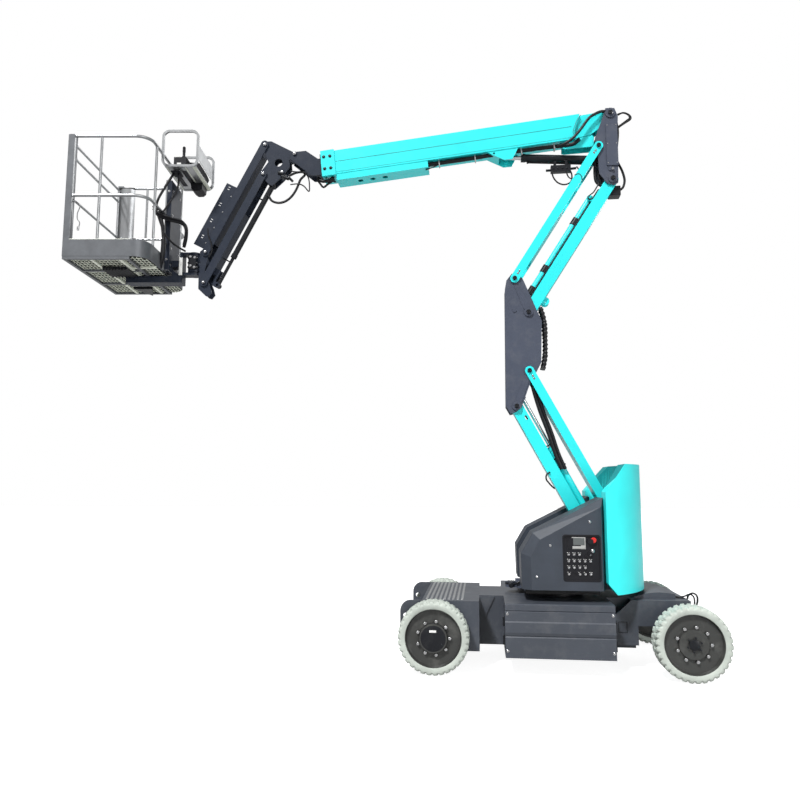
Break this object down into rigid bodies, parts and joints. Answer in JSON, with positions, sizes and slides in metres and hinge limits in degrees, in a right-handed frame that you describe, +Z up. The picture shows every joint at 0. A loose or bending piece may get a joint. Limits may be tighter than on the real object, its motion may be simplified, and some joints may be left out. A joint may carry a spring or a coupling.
{
  "type": "articulating boom lift",
  "caption": "Self-propelled articulating boom lift: slewing turntable, folding two-stage riser, telescoping boom, levelled jib and a rotating work platform on solid tyres",
  "frame": {"origin": "on the ground plane under the slewing axis, midway between the two axles", "axes": "+X along the chassis towards the steered wheels and the counterweight, +Y across it to the side away from the control panel, +Z up"},
  "size_m": [5.6572, 1.5, 4.9096],
  "materials": {
    "chassis_paint": "satin dark slate paint",
    "frame_paint": "satin slate paint",
    "rim_paint": "satin dark grey paint",
    "dark_steel": "satin black paint",
    "battery_case": "moulded matte",
    "tyre_rubber": "non-marking pale compound",
    "cowl_plastic": "moulded, light grain",
    "panel_plastic": "moulded matte",
    "counterweight_iron": "cast and painted turquoise",
    "arm_paint": "gloss turquoise paint",
    "cylinder_paint": "satin black paint",
    "rod_chrome": "hard chrome",
    "platform_steel": "galvanised"
  },
  "bodies": {
    "chassis": {"chassis_frame": "chassis_paint", "battery_boxes": "chassis_paint", "battery_packs": "battery_case", "slew_ring": "chassis_paint", "drive_axle": "dark_steel", "steer_axle": "dark_steel"},
    "steer_knuckle_near": {"steer_knuckle_near": "dark_steel"},
    "steer_knuckle_far": {"steer_knuckle_far": "dark_steel"},
    "wheel_drive_near": {"tyre_drive_near": "tyre_rubber", "rim_drive_near": "rim_paint"},
    "wheel_drive_far": {"tyre_drive_far": "tyre_rubber", "rim_drive_far": "rim_paint"},
    "wheel_steer_near": {"tyre_steer_near": "tyre_rubber", "rim_steer_near": "rim_paint"},
    "wheel_steer_far": {"tyre_steer_far": "tyre_rubber", "rim_steer_far": "rim_paint"},
    "turntable": {"turntable_frame": "frame_paint", "side_cowls": "cowl_plastic", "control_panel": "panel_plastic", "counterweight": "counterweight_iron"},
    "lower_arm": {"lower_arm": "arm_paint", "lower_cylinder": "arm_paint"},
    "lower_link": {"lower_link": "arm_paint"},
    "lower_rod": {"lower_rod": "rod_chrome"},
    "mid_link": {"mid_link": "frame_paint"},
    "upper_arm": {"upper_arm": "arm_paint", "upper_cylinder": "arm_paint"},
    "upper_link": {"upper_link": "arm_paint"},
    "upper_rod": {"upper_rod": "rod_chrome"},
    "tower_head": {"tower_head": "frame_paint"},
    "main_boom": {"main_boom": "arm_paint"},
    "fly_boom": {"fly_boom": "frame_paint"},
    "boom_cylinder": {"boom_cylinder": "cylinder_paint"},
    "boom_rod": {"boom_rod": "rod_chrome"},
    "jib_knuckle": {"jib_knuckle": "frame_paint"},
    "jib_arm": {"jib_arm": "frame_paint"},
    "jib_link": {"jib_link": "frame_paint"},
    "jib_end": {"jib_end": "frame_paint"},
    "jib_cylinder": {"jib_cylinder": "cylinder_paint"},
    "jib_rod": {"jib_rod": "rod_chrome"},
    "platform": {"platform_support": "frame_paint", "platform_floor": "platform_steel", "platform_rails": "platform_steel", "control_console": "panel_plastic"},
    "platform_gate": {"platform_gate": "platform_steel"}
  },
  "joints": [
    {"name": "turntable_slew", "type": "hinge", "parent": "chassis", "child": "turntable", "pos_m": [0, 0, 0.59], "axis": [0, 0, 1], "range_deg": [-177.5, 177.5]},
    {"name": "tower_lift", "type": "hinge", "parent": "turntable", "child": "lower_arm", "pos_m": [0.417, 0, 0.877], "axis": [0, -1, 0], "range_deg": [-8, 53]},
    {"name": "lower_link_pivot", "type": "hinge", "parent": "turntable", "child": "lower_link", "pos_m": [0.535, 0, 1.191], "axis": [0, -1, 0], "range_deg": [-8, 53]},
    {"name": "mid_link_pivot", "type": "hinge", "parent": "lower_arm", "child": "mid_link", "pos_m": [-0.2642, 0, 2.15816], "axis": [0, -1, 0], "range_deg": [-53, 8]},
    {"name": "upper_arm_pivot", "type": "hinge", "parent": "mid_link", "child": "upper_arm", "pos_m": [-0.1422, 0, 3.00716], "axis": [0, -1, 0], "range_deg": [-53, 8]},
    {"name": "upper_link_pivot", "type": "hinge", "parent": "mid_link", "child": "upper_link", "pos_m": [-0.2602, 0, 3.32116], "axis": [0, -1, 0], "range_deg": [-53, 8]},
    {"name": "tower_head_pivot", "type": "hinge", "parent": "upper_arm", "child": "tower_head", "pos_m": [0.63955, 0, 4.22956], "axis": [0, -1, 0], "range_deg": [-8, 53]},
    {"name": "lower_rod_slide", "type": "slide", "parent": "lower_arm", "child": "lower_rod", "axis": [-0.4695, 0, 0.8829], "range_m": [-0.1, 0.02]},
    {"name": "upper_rod_slide", "type": "slide", "parent": "upper_arm", "child": "upper_rod", "axis": [-0.5388, 0, -0.8425], "range_m": [-0.02, 0.1]},
    {"name": "boom_lift", "type": "hinge", "parent": "tower_head", "child": "main_boom", "pos_m": [0.63755, 0, 4.85956], "axis": [0, 1, 0], "range_deg": [-6, 75]},
    {"name": "boom_cylinder_pivot", "type": "hinge", "parent": "tower_head", "child": "boom_cylinder", "pos_m": [0.58255, 0, 4.44756], "axis": [0, 1, 0], "range_deg": [-8, 80]},
    {"name": "boom_rod_slide", "type": "slide", "parent": "boom_cylinder", "child": "boom_rod", "axis": [-0.9967, 0, 0.0814], "range_m": [-0.06, 0.58]},
    {"name": "fly_extend", "type": "slide", "parent": "main_boom", "child": "fly_boom", "axis": [-0.9954, 0, -0.0958], "range_m": [0, 1.2]},
    {"name": "jib_level", "type": "hinge", "parent": "fly_boom", "child": "jib_knuckle", "pos_m": [-2.33406, 0, 4.63973], "axis": [0, 1, 0], "range_deg": [-75, 6]},
    {"name": "jib_lift", "type": "hinge", "parent": "jib_knuckle", "child": "jib_arm", "pos_m": [-2.65006, 0, 4.46073], "axis": [0, 1, 0], "range_deg": [-3, 88]},
    {"name": "jib_link_pivot", "type": "hinge", "parent": "jib_knuckle", "child": "jib_link", "pos_m": [-2.64106, 0, 4.76173], "axis": [0, 1, 0], "range_deg": [-3, 88]},
    {"name": "jib_end_pivot", "type": "hinge", "parent": "jib_arm", "child": "jib_end", "pos_m": [-3.21345, 0, 3.39667], "axis": [0, 1, 0], "range_deg": [-88, 3]},
    {"name": "jib_cylinder_pivot", "type": "hinge", "parent": "jib_knuckle", "child": "jib_cylinder", "pos_m": [-2.56449, 0, 4.37016], "axis": [0, 1, 0], "range_deg": [-4, 90]},
    {"name": "jib_rod_slide", "type": "slide", "parent": "jib_cylinder", "child": "jib_rod", "axis": [-0.4679, 0, -0.8838], "range_m": [-0.02, 0.2]},
    {"name": "platform_rotate", "type": "hinge", "parent": "jib_end", "child": "platform", "pos_m": [-3.33244, 0, 3.59767], "axis": [0, 0, 1], "range_deg": [-90, 90]},
    {"name": "gate_swing", "type": "hinge", "parent": "platform", "child": "platform_gate", "pos_m": [-4.26255, -0.61726, 4.337], "axis": [0, 0, 1], "range_deg": [0, 85]},
    {"name": "steer_near", "type": "hinge", "parent": "chassis", "child": "steer_knuckle_near", "pos_m": [0.973, -0.505, 0.2795], "axis": [0, 0, 1], "range_deg": [-30, 30]},
    {"name": "steer_far", "type": "hinge", "parent": "chassis", "child": "steer_knuckle_far", "pos_m": [0.973, 0.505, 0.2795], "axis": [0, 0, 1], "range_deg": [-30, 30]},
    {"name": "wheel_drive_near", "type": "hinge", "parent": "chassis", "child": "wheel_drive_near", "pos_m": [-0.973, -0.6625, 0.2795], "axis": [0, 1, 0], "continuous": true},
    {"name": "wheel_drive_far", "type": "hinge", "parent": "chassis", "child": "wheel_drive_far", "pos_m": [-0.973, 0.6625, 0.2795], "axis": [0, 1, 0], "continuous": true},
    {"name": "wheel_steer_near", "type": "hinge", "parent": "steer_knuckle_near", "child": "wheel_steer_near", "pos_m": [0.973, -0.6625, 0.2795], "axis": [0, 1, 0], "continuous": true},
    {"name": "wheel_steer_far", "type": "hinge", "parent": "steer_knuckle_far", "child": "wheel_steer_far", "pos_m": [0.973, 0.6625, 0.2795], "axis": [0, 1, 0], "continuous": true}
  ],
  "couplings": [
    {"joint": "lower_link_pivot", "follows": "tower_lift", "ratio": 1},
    {"joint": "mid_link_pivot", "follows": "tower_lift", "ratio": -1},
    {"joint": "upper_arm_pivot", "follows": "tower_lift", "ratio": -1},
    {"joint": "upper_link_pivot", "follows": "tower_lift", "ratio": -1},
    {"joint": "tower_head_pivot", "follows": "tower_lift", "ratio": 1},
    {"joint": "lower_rod_slide", "follows": "tower_lift", "m_per_rad": -0.094192},
    {"joint": "upper_rod_slide", "follows": "tower_lift", "m_per_rad": 0.095858},
    {"joint": "boom_cylinder_pivot", "follows": "boom_lift", "ratio": 0.83323},
    {"joint": "boom_rod_slide", "follows": "boom_lift", "m_per_rad": 0.3421},
    {"joint": "jib_level", "follows": "boom_lift", "ratio": -1},
    {"joint": "jib_link_pivot", "follows": "jib_lift", "ratio": 1},
    {"joint": "jib_end_pivot", "follows": "jib_lift", "ratio": -1},
    {"joint": "jib_cylinder_pivot", "follows": "jib_lift", "ratio": 0.97717},
    {"joint": "jib_rod_slide", "follows": "jib_lift", "m_per_rad": 0.11279},
    {"joint": "steer_far", "follows": "steer_near", "ratio": 1}
  ]
}
